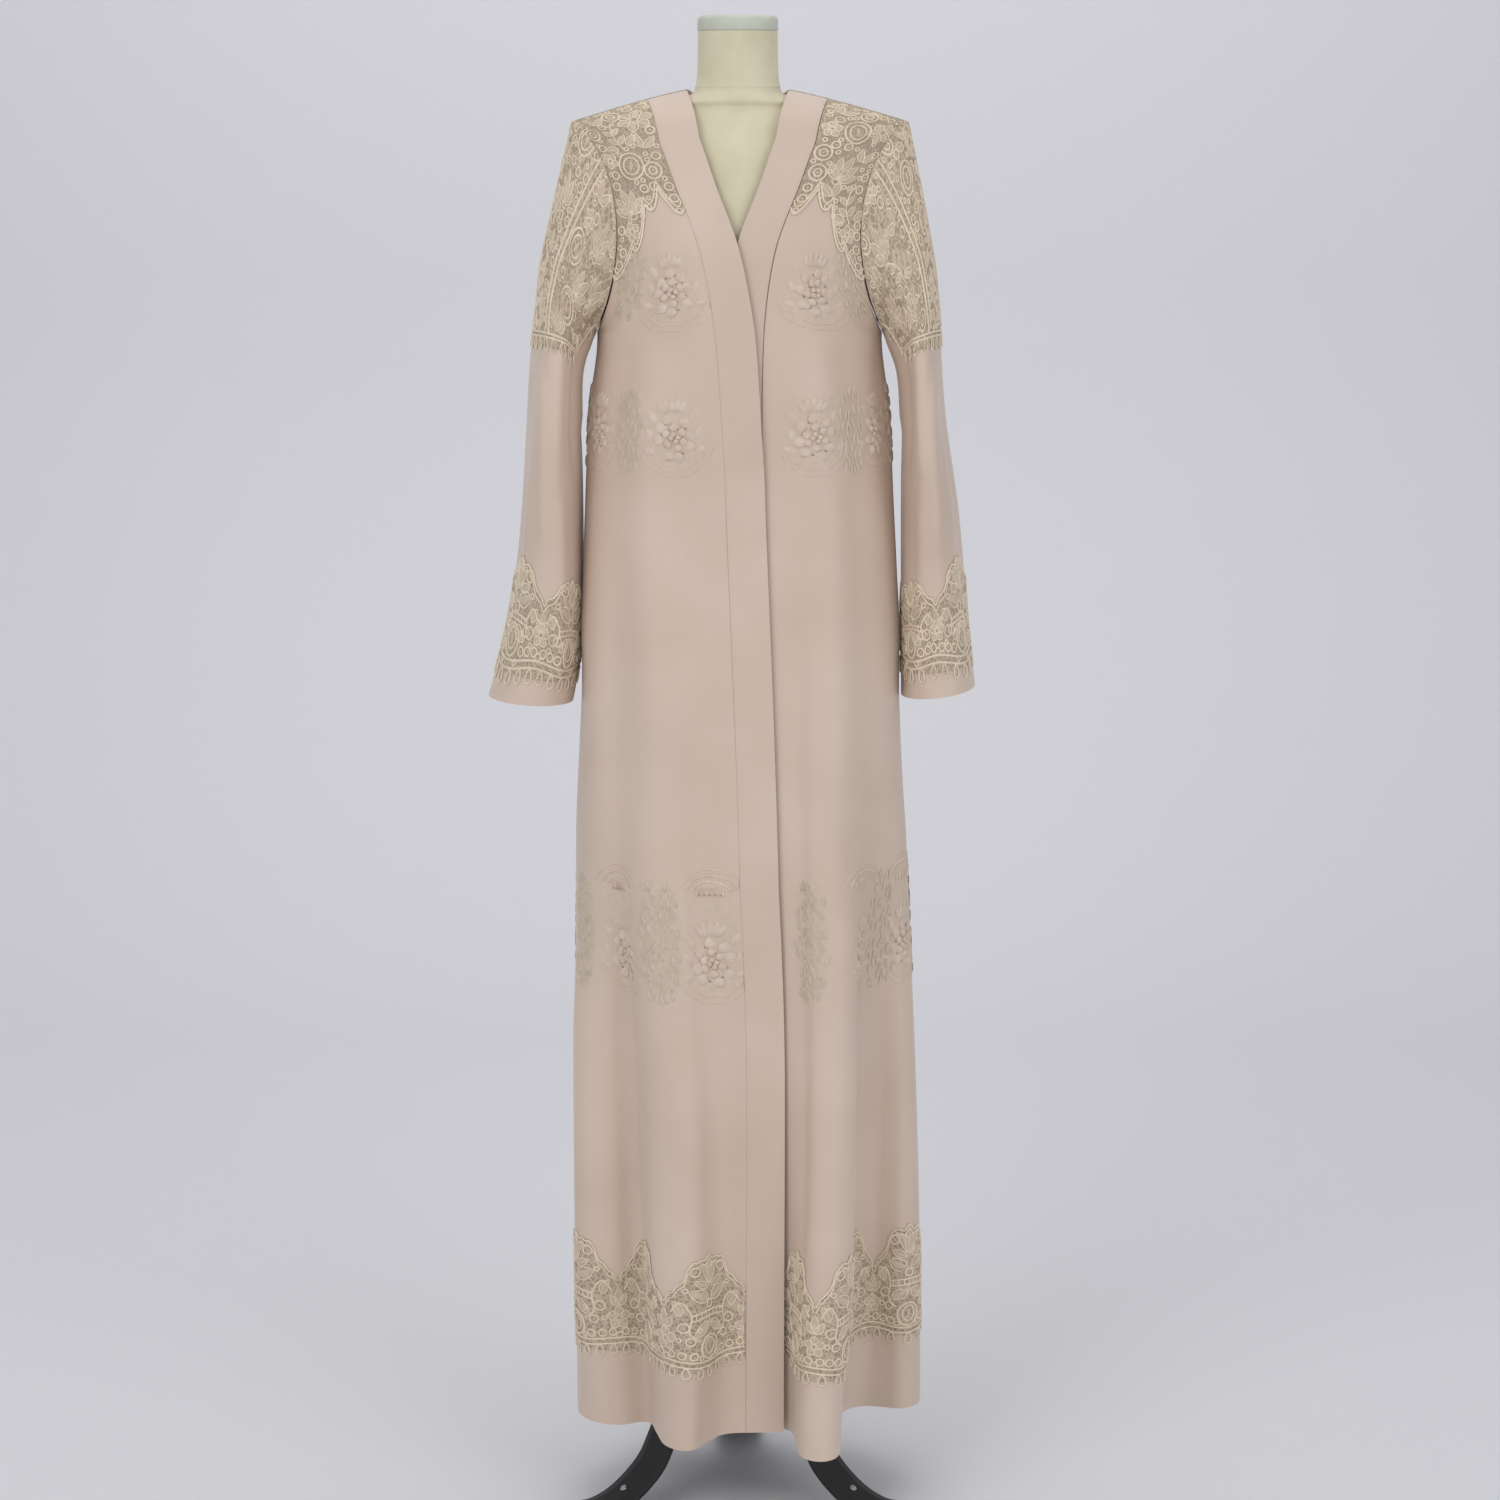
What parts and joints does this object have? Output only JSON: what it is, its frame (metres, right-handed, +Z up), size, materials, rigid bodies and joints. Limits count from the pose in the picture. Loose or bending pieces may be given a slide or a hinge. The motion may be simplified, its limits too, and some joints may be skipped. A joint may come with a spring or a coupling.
{
  "type": "abaya cloak on a dress form stand",
  "caption": "Long beige abaya cloak, open front with plain bands, cream guipure lace on shoulders, cuffs and hem, standing on a limbless dress form with a black tripod stand.",
  "frame": {"origin": "centre of the bounding box on the floor, under the stand's feet", "axes": "+Z up, front of the garment faces -Y, +X to the viewer's right (the wearer's left)"},
  "size_m": [0.5333, 0.3589, 1.6483],
  "materials": {
    "cloth": "satin crepe, soft sheen",
    "lace": "matt corded guipure lace",
    "form_cover": "smooth matt jersey over a foam core",
    "neck_cap": "satin plastic",
    "stand": "black paint, slight gloss"
  },
  "bodies": {
    "root": {"right_front": "cloth", "left_front": "cloth", "right_front_band": "cloth", "left_front_band": "cloth", "back": "cloth", "right_sleeve": "cloth", "left_sleeve": "cloth", "right_front_hem_lace": "lace", "left_front_hem_lace": "lace", "back_hem_lace": "lace", "right_shoulder_lace": "lace", "left_shoulder_lace": "lace", "back_shoulder_lace": "lace", "right_sleeve_head_lace": "lace", "left_sleeve_head_lace": "lace", "right_cuff_lace_front": "lace", "right_cuff_lace_back": "lace", "left_cuff_lace_front": "lace", "left_cuff_lace_back": "lace", "form_torso": "form_cover", "form_neck_cap": "neck_cap", "stand_pole": "stand", "stand_hub": "stand", "right_leg": "stand", "left_leg": "stand", "rear_leg": "stand", "right_foot": "stand", "left_foot": "stand", "rear_foot": "stand"}
  },
  "joints": []
}
